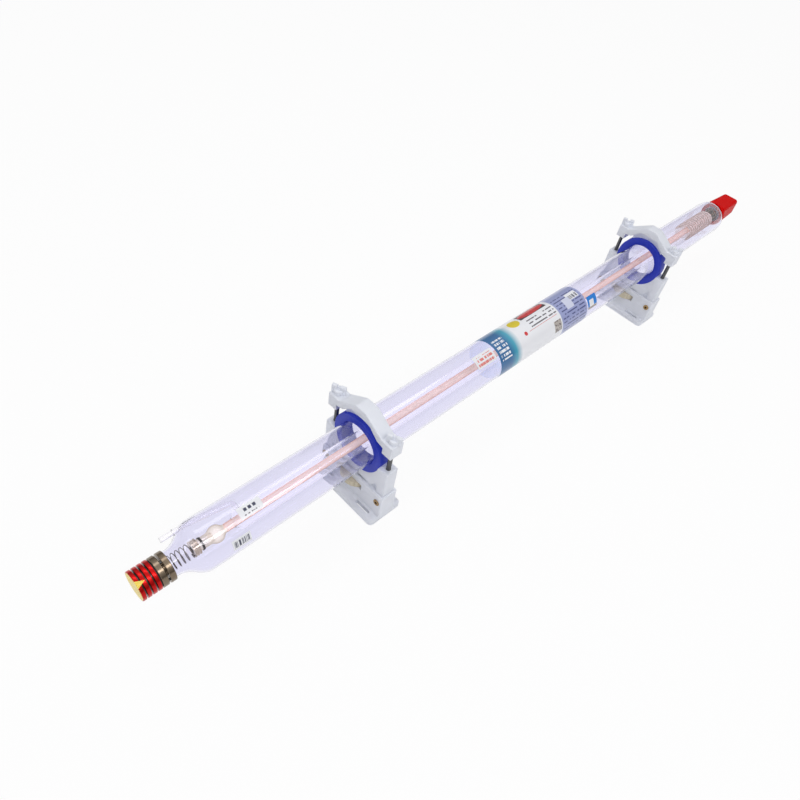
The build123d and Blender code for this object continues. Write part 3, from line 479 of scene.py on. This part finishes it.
def drawn_out(outline, sides):
    """A round shape about the tube's axis, drawn out loop by loop through (station mm, radius mm).

    An open outline gets its thickness later. One that comes back to its start is closed.
    """
    clear()
    (station, radius), *rest = outline
    bpy.ops.mesh.primitive_circle_add(vertices=sides, radius=radius * MM, location=(along(station), 0, AXIS),
                                      rotation=(0, pi / 2, 0))
    piece = bpy.context.object
    bpy.ops.object.transform_apply(location=True, rotation=True, scale=True)
    bpy.ops.object.mode_set(mode="EDIT")
    bpy.ops.mesh.select_all(action="SELECT")
    before = radius
    for next_station, next_radius in rest:
        bpy.ops.mesh.extrude_edges_move(
            TRANSFORM_OT_translate={"value": ((next_station - station) * MM, 0, 0)})
        share = next_radius / before
        bpy.ops.transform.resize(value=(1, share, share), center_override=(along(next_station), 0, AXIS))
        station, before = next_station, next_radius
    bpy.ops.mesh.select_all(action="SELECT")
    bpy.ops.mesh.remove_doubles(threshold=WELD)
    bpy.ops.mesh.normals_make_consistent(inside=False)
    bpy.ops.object.mode_set(mode="OBJECT")
    return piece


def curve_point(t, start, leave, arrive, end):
    """Place at t, from 0 to 1, on a cubic curve."""
    left = 1 - t
    return start * left ** 3 + 3 * leave * t * left ** 2 + 3 * arrive * t ** 2 * left + end * t ** 3


def eased(start, end, steps=14):
    """Points of a shoulder that leaves and meets its neighbours without a corner."""
    (x0, r0), (x1, r1) = start, end
    middle = (x0 + x1) / 2
    return [(curve_point(step / steps, x0, middle, middle, x1), curve_point(step / steps, r0, r0, r1, r1))
            for step in range(steps + 1)]


def rounded(piece, width, angle=40.0, segments=2):
    """Breaks the sharp edges of a piece, to a width in millimetres."""
    apply(piece, "BEVEL", width=width * MM, segments=segments, limit_method="ANGLE",
          angle_limit=radians(angle), harden_normals=False)


def softened(node, name, material, body, width):
    """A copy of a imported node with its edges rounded, in place of the plain one."""
    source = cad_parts[node]
    piece = bpy.data.objects.new(name, source.data.copy())
    bpy.context.collection.objects.link(piece)
    only(piece)
    bpy.ops.object.mode_set(mode="EDIT")
    bpy.ops.mesh.select_all(action="SELECT")
    bpy.ops.mesh.remove_doubles(threshold=WELD)
    bpy.ops.mesh.dissolve_limited(angle_limit=radians(0.5))
    bpy.ops.object.mode_set(mode="OBJECT")
    rounded(piece, width, 35.0)
    finish_piece(piece, name, material, body, 40.0)
    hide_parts(node)
    return piece


def paint(material, *nodes):
    """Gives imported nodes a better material."""
    for node in nodes:
        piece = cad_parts[node]
        piece.data.materials.clear()
        piece.data.materials.append(material)


def thickened(piece, wall):
    """Gives a skin its wall, inwards, in millimetres."""
    apply(piece, "SOLIDIFY", thickness=wall * MM, offset=-1.0, use_even_offset=True)


def settings(context):
    """The sizes and colours that the user has set."""
    return context.scene.laser_tube_sizes, context.scene.laser_tube_colours


# ---------------------------------------------------------------- pieces
class LASERTUBE_OT_outer_glass(bpy.types.Operator):
    """Blow the long outer glass with its drawn-in necks"""
    bl_idname = "lasertube.outer_glass"
    bl_label = "Outer Glass"

    def execute(self, context):
        sizes, colours = settings(context)
        body, neck, rear = (value / MM for value in (sizes.jacket_radius, sizes.front_neck, sizes.rear_neck))
        step = (BODY_END - BODY_START) / BODY_LOOPS
        outline = [(NECK_START, neck)] + eased((SHOULDER_START, neck), (BODY_START, body))
        outline += [(BODY_START + step * loop, body) for loop in range(1, BODY_LOOPS)]
        outline += eased((BODY_END, body), (REAR_NECK_START, rear)) + [(GLASS_END, rear)]
        glass = drawn_out(outline, 128)
        thickened(glass, sizes.jacket_wall / MM)
        finish_piece(glass, "jacket_glass", blown_glass("jacket_glass", tuple(colours.glass)), "tube", 60.0)
        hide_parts("outer_jacket")
        return {"FINISHED"}


class LASERTUBE_OT_inner_glass(bpy.types.Operator):
    """Draw the water jacket, discharge tube, nozzles and gas return"""
    bl_idname = "lasertube.inner_glass"
    bl_label = "Inner Glass"

    def execute(self, context):
        sizes, colours = settings(context)
        glass = tuple(colours.inner_glass)
        paint(blown_glass("nozzle_glass", glass), "water_outlet_nozzle", "water_inlet_nozzle")
        # The coil glows with painted light of its own colour.
        coil = lit_tube("coil_glass", tuple(colours.coil_glass), tuple(colours.coil_rim), 0.46, 0.75)
        paint(coil, "gas_return_coil", "gas_return_tube")
        water = sizes.water_radius / MM
        tube = sizes.discharge_radius / MM
        outline = eased((WATER_START, tube + WATER_SEAL), (WATER_FULL, water), 10)
        outline += [(700.0, water), (1200.0, water)]
        outline += eased((WATER_LAST, water), (WATER_END, tube + WATER_SEAL), 10)
        sleeve = drawn_out(outline, 96)
        thickened(sleeve, WATER_WALL)
        # The water sleeve gets a faint painted glow of white emission.
        finish_piece(sleeve, "water_sleeve", blown_glass("inner_glass", glass, 0.04), "tube", 60.0)
        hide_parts("water_jacket")
        outline = [(station, tube) for station in (DISCHARGE_START, 600.0, 1100.0, DISCHARGE_END)]
        discharge = drawn_out(outline, 64)
        thickened(discharge, DISCHARGE_WALL)
        # The pink tube glows with painted light of its own colour.
        pink = lit_tube("discharge_glass", tuple(colours.discharge), tuple(colours.discharge_rim))
        finish_piece(discharge, "discharge_glass", pink, "tube", 60.0)
        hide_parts("discharge_tube")
        return {"FINISHED"}


class LASERTUBE_OT_electrode(bpy.types.Operator):
    """Paint the spring, cup, band and silvered flask"""
    bl_idname = "lasertube.electrode"
    bl_label = "Electrode"

    def execute(self, context):
        _, colours = settings(context)
        # A lit copy of the plated metal: painted lighter to stand in for the light that the glass keeps off
        # the cup.
        paint(turned_metal("brightened_cup_nickel", tuple(colours.cup), 0.12), "electrode_cup", "cathode_cylinder")
        paint(turned_metal("dark_band", tuple(colours.cup_band), 0.4), "electrode_band")
        paint(drawn_steel("spring_steel", tuple(colours.spring), 0.16), "cathode_spring")
        # The flask glows with painted white light.
        paint(silvered("silvered_glass", FLASK_NECK_END), "electrode_flask")
        return {"FINISHED"}


class LASERTUBE_OT_output_head(bpy.types.Operator):
    """Turn the finned output head with its flanges and film"""
    bl_idname = "lasertube.output_head"
    bl_label = "Output Head"

    def execute(self, context):
        _, colours = settings(context)
        red = anodised("red_anodised", tuple(colours.red_metal), tuple(colours.groove), GROOVE_TOP)
        outline = [(0, HEAD_BORE)]
        for fin in range(FINS):
            start = fin * FIN_PITCH
            outline += [(start, FIN_RIM), (start + FIN, FIN_RIM), (start + FIN, FIN_FLOOR)]
            if fin < FINS - 1:
                outline.append((start + FIN_PITCH, FIN_FLOOR))
        outline += [(start + FIN, HEAD_BORE), (0, HEAD_BORE)]
        sink = drawn_out(outline, 112)
        rounded(sink, FIN_EDGE)
        finish_piece(sink, "heat_sink", red, "tube")
        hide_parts("finned_heat_sink")
        paint(nickel_plate(colours), "front_head_mount", "rear_head_mount", "mirror_retainer", "anode_pin")
        paint(stud_steel(colours), "front_adjusting_screws", "rear_adjusting_screws")
        paint(soft_rubber("black_rubber", tuple(colours.seal)), "head_spacer")
        paint(printed("yellow_film", tuple(colours.yellow), gloss=0.42), "aperture_sticker")
        paint(turned_metal("optic", tuple(colours.optic), 0.04), "output_mirror", "rear_mirror")
        return {"FINISHED"}


class LASERTUBE_OT_rear_head(bpy.types.Operator):
    """Mould the red cover of the rear head"""
    bl_idname = "lasertube.rear_head"
    bl_label = "Rear Head"

    def execute(self, context):
        _, colours = settings(context)
        paint(moulded_plastic("red_plastic", tuple(colours.red_cover), 0.34, 0.03), "rear_cover")
        return {"FINISHED"}


class LASERTUBE_OT_films(bpy.types.Operator):
    """Wrap the printed films round the outer glass"""
    bl_idname = "lasertube.films"
    bl_label = "Printed Films"

    def execute(self, context):
        _, colours = settings(context)
        deep, teal, pale, paper, ink, red, band, patch = (tuple(getattr(colours, key)) for key in (
            "label_blue", "label_teal", "label_pale", "paper", "ink", "red_ink", "band", "patch"))
        span = LABEL_END - LABEL_START
        stops = ((LABEL_START, deep), (745, deep), (762, teal), (778, paper), (906, paper), (907.5, pale))
        shares = tuple(((station - LABEL_START) / span, tint) for station, tint in stops)
        grey, violet = linear(92, 86, 96), linear(76, 82, 136)
        fields = (
            ("blocks", 733.0, 82.0, 14.0, 22.0, paper),
            ("oval", 798.0, 50.0, 14.5, 11.5, patch),
            ("plain", 858.0, 43.5, 40.0, 10.0, linear(60, 34, 40)),
            ("oval", 858.0, 43.5, 38.5, 9.0, red),
            ("rows", 863.0, 69.0, 39.0, 13.0, grey),
            ("oval", 801.0, 82.5, 4.2, 4.2, red),
            ("plain", 856.0, 82.5, 44.0, 0.35, red),
            ("plain", 892.0, 105.5, 11.0, 12.0, linear(190, 182, 176)),
            ("grid", 892.0, 105.5, 11.0, 12.0, linear(116, 108, 108)),
            ("rows", 950.0, 91.0, 38.0, 42.0, violet),
            ("plain", 968.0, 65.5, 16.5, 8.5, paper),
            ("bars", 968.0, 68.0, 14.0, 4.5, ink),
            ("plain", 945.0, 75.5, 11.5, 12.0, linear(214, 218, 240)),
        )
        loops = 5
        label = drawn_out([(LABEL_START + span * loop / (loops - 1), FILM_RADIUS + FILM_LIFT)
                           for loop in range(loops)], 240)
        thickened(label, context.scene.laser_tube_sizes.film / MM)
        # The label's inner side glows with painted light, at 0.85.
        film = printed("blue_film", paper, fields, (LABEL_START, LABEL_END, shares), 0.28, 0.85)
        finish_piece(label, "wrapped_label", film, "tube")
        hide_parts("main_label")
        marks = (("blocks", 682.0, 80.0, 21.0, 9.0, linear(226, 128, 122)),)
        paint(printed("mark_film", paper, marks), "mark_sticker")
        squares = tuple(("plain", 174.0 + step * 7.5, 75.5, 2.4, 2.4, ink) for step in (-1, 0, 1))
        marks = (*squares, ("bars", 174.0, 83.0, 14.0, 0.9, grey))
        paint(printed("outlet_film", paper, marks), "outlet_sticker")
        marks = (("bars", 143.0, 114.0, 12.5, 5.5, ink),)
        paint(printed("serial_film", paper, marks), "serial_sticker")
        marks = (
            ("plain", 1010.0, 103.0, 7.5, 7.5, paper),
            ("plain", 1012.5, 113.5, 15.0, 4.0, linear(196, 186, 180)),
            ("grid", 1012.5, 113.5, 12.0, 2.4, linear(120, 104, 98)),
        )
        paint(printed("band_film", band, marks), "band_sticker")
        return {"FINISHED"}


class LASERTUBE_OT_mounts(bpy.types.Operator):
    """Mould the two clamp mounts and fit their screws, wheels and knobs"""
    bl_idname = "lasertube.mounts"
    bl_label = "Clamp Mounts"

    def execute(self, context):
        sizes, colours = settings(context)
        white = moulded_plastic("mount_plastic", tuple(colours.plastic))
        beige = moulded_plastic("wheel_plastic", tuple(colours.wheel), 0.5)
        # The blue rubber glows with painted light of its own tint.
        rubber = soft_rubber("blue_rubber", tuple(colours.rubber), 0.42, 0.55)
        steel = stud_steel(colours)
        low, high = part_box("front_lock_screws")
        lock = brass("brass", tuple(colours.brass), high[1] - LOCK_HEAD * MM, (low[2] + high[2]) / 2)
        edge = sizes.edge / MM
        for end in ENDS:
            for piece, body in (("base", f"{end}_foot"), ("saddle", "tube"), ("yoke", "tube")):
                node = f"{end}_{piece}"
                softened(node, f"{node}_moulding", white, body, edge)
            for side in ("left", "right"):
                paint(white, f"{end}_{side}_clamp_knob")
                paint(steel, f"{end}_{side}_clamp_bolt")
            paint(beige, f"{end}_height_wheel", f"{end}_height_screw")
            paint(lock, f"{end}_lock_screws")
            low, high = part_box(f"{end}_base")
            middle = ((low[0] + high[0]) / 2 - FRONT) / MM
            face, back = middle - RING_HALF, middle + RING_HALF
            ring = drawn_out([(face, RING_BORE), (face, RING_OUTER), (back, RING_OUTER), (back, RING_BORE),
                              (face, RING_BORE)], 112)
            rounded(ring, RING_EDGE, segments=3)
            finish_piece(ring, f"{end}_soft_ring", rubber, "tube")
            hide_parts(f"{end}_rubber_ring")
        return {"FINISHED"}


CAMERA_PLACE = Vector((-0.97965, -0.4607, 0.9968))
CAMERA_TURN = (-52.5, 47.3, 11.6)        # round the object, above the floor, roll, in degrees
CAMERA_LENS = 30.465
SKY_LEVEL = 0.46                         # what the sky gives to plain surfaces
SKY_EDGE, SKY_FULL = 0.15, 0.8           # mirrored sky: level at the horizon, height where it is full
FLOOR_WHITENESS = 0.93                   # share of the floor that shows as plain white
FLOOR_SIZE, FLOOR_DROP = 30.0, 0.0002
LAMPS = (                                # name, place, aim, size and power
    ("key_lamp", (-0.5, -1.6, 2.6), (0.0, 0.0, 0.1), (2.6, 0.7), 26.0),
    ("top_lamp", (0.3, 0.9, 2.8), (0.0, 0.0, 0.1), (2.8, 0.8), 14.0),
    ("front_lamp", (-2.6, 0.2, 1.5), (-0.5, 0.0, 0.1), (1.4, 1.0), 8.0),
)


def ray_kind(tree, *kinds):
    """One where the ray is of one of these kinds, nought elsewhere."""
    rays = tree.nodes.new("ShaderNodeLightPath")
    total = None
    for kind in kinds:
        flag = rays.outputs[f"Is {kind} Ray"]
        if total is not None:
            larger = tree.nodes.new("ShaderNodeMath")
            larger.operation = "MAXIMUM"
            tree.links.new(total, larger.inputs[0])
            tree.links.new(flag, larger.inputs[1])
            flag = larger.outputs[0]
        total = flag
    return total


def lay_floor(tint):
    """A plain pale floor that keeps the object's shadow."""
    clear()
    bpy.ops.mesh.primitive_plane_add(size=FLOOR_SIZE, location=(0, 0, -FLOOR_DROP))
    floor = bpy.context.object
    floor.name = "floor"
    bpy.ops.object.transform_apply(location=True)
    ground = Recipe("floor")
    ground.set(Base_Color=tint, Roughness=0.9, Specular_IOR_Level=0.1)
    seen = ground.math("MULTIPLY", ray_kind(ground.tree, "Camera", "Glossy", "Transmission"), FLOOR_WHITENESS)
    white = ground.node("ShaderNodeEmission")
    mixed = ground.node("ShaderNodeMixShader")
    link = ground.tree.links.new
    link(seen, mixed.inputs[0])
    link(ground.shader.outputs[0], mixed.inputs[1])
    link(white.outputs[0], mixed.inputs[2])
    link(mixed.outputs[0], ground.tree.nodes["Material Output"].inputs["Surface"])
    floor.data.materials.append(ground.material)


def hang_lamps():
    """Three soft rectangular lamps."""
    for name, place, aim, size, power in LAMPS:
        bpy.ops.object.light_add(type="AREA", location=place)
        lamp = bpy.context.object
        lamp.name = name
        lamp.data.shape = "RECTANGLE"
        lamp.data.size, lamp.data.size_y = size
        lamp.data.energy = power
        lamp.rotation_euler = (Vector(aim) - Vector(place)).to_track_quat("-Z", "Y").to_euler()


def light_sky(scene):
    """A white sky: dim for plain surfaces, brighter with height in gloss, plain white seen through glass."""
    world = scene.world or bpy.data.worlds.new("World")
    scene.world = world
    world.use_nodes = True
    tree = world.node_tree
    sky = tree.nodes["Background"]
    spot = tree.nodes.new("ShaderNodeSeparateXYZ")
    tree.links.new(tree.nodes.new("ShaderNodeTexCoord").outputs["Generated"], spot.inputs[0])
    height = tree.nodes.new("ShaderNodeMapRange")
    tree.links.new(spot.outputs[2], height.inputs["Value"])
    height.inputs["From Max"].default_value = SKY_FULL
    height.inputs["To Min"].default_value = SKY_EDGE
    in_gloss = tree.nodes.new("ShaderNodeMix")
    tree.links.new(ray_kind(tree, "Glossy"), in_gloss.inputs[0])
    in_gloss.inputs[2].default_value = SKY_LEVEL
    tree.links.new(height.outputs["Result"], in_gloss.inputs[3])
    seen = tree.nodes.new("ShaderNodeMix")
    tree.links.new(ray_kind(tree, "Camera", "Transmission"), seen.inputs[0])
    tree.links.new(in_gloss.outputs[0], seen.inputs[2])
    seen.inputs[3].default_value = 1.0
    tree.links.new(seen.outputs[0], sky.inputs["Strength"])
    sky.inputs["Color"].default_value = (1.0, 1.0, 1.0, 1.0)


def place_camera(scene):
    """The camera, above the output head and looking back along the tube."""
    turn, rise, roll = (radians(value) for value in CAMERA_TURN)
    back = Vector((sin(turn) * cos(rise), -cos(turn) * cos(rise), sin(rise)))
    level_right = Vector((cos(turn), sin(turn), 0.0))
    level_up = back.cross(level_right)
    right = level_right * cos(roll) + level_up * sin(roll)
    up = -level_right * sin(roll) + level_up * cos(roll)
    bpy.ops.object.camera_add()
    camera = bpy.context.object
    camera.name = "camera"
    camera.data.lens = CAMERA_LENS
    camera.data.sensor_width = 36.0
    camera.data.clip_start = 0.01
    turned = Matrix((right, up, back)).transposed().to_4x4()
    camera.matrix_world = Matrix.Translation(CAMERA_PLACE) @ turned
    scene.camera = camera


class LASERTUBE_OT_stage(bpy.types.Operator):
    """Lay the floor and set the lamps, the world and the camera"""
    bl_idname = "lasertube.stage"
    bl_label = "Stage"

    def execute(self, context):
        _, colours = settings(context)
        lay_floor(tuple(colours.floor))
        hang_lamps()
        light_sky(context.scene)
        place_camera(context.scene)
        context.scene.view_settings.view_transform = "Standard"
        return {"FINISHED"}


PIECES = (
    LASERTUBE_OT_outer_glass,
    LASERTUBE_OT_inner_glass,
    LASERTUBE_OT_output_head,
    LASERTUBE_OT_electrode,
    LASERTUBE_OT_rear_head,
    LASERTUBE_OT_films,
    LASERTUBE_OT_mounts,
    LASERTUBE_OT_stage,
)


class LASERTUBE_PT_panel(bpy.types.Panel):
    """Sizes, colours and pieces of the laser tube"""
    bl_idname = "LASERTUBE_PT_panel"
    bl_label = "Laser Tube"
    bl_space_type = "VIEW_3D"
    bl_region_type = "UI"
    bl_category = "Laser Tube"

    def draw(self, context):
        for title, group in zip(("Sizes", "Colours"), settings(context)):
            box = self.layout.box()
            box.label(text=title)
            for key in group.__annotations__:
                box.prop(group, key)
        for piece in PIECES:
            self.layout.operator(piece.bl_idname)


CLASSES = (TubeSizes, TubeColours, *PIECES, LASERTUBE_PT_panel)


def register():
    for kind in CLASSES:
        bpy.utils.register_class(kind)
    bpy.types.Scene.laser_tube_sizes = bpy.props.PointerProperty(type=TubeSizes)
    bpy.types.Scene.laser_tube_colours = bpy.props.PointerProperty(type=TubeColours)


def unregister():
    del bpy.types.Scene.laser_tube_colours
    del bpy.types.Scene.laser_tube_sizes
    for kind in reversed(CLASSES):
        bpy.utils.unregister_class(kind)


def main():
    """Registers the add-on and makes every piece in order."""
    register()
    for piece in PIECES:
        group, operator = piece.bl_idname.split(".")
        getattr(getattr(bpy.ops, group), operator)()


if __name__ == "__main__":
    main()
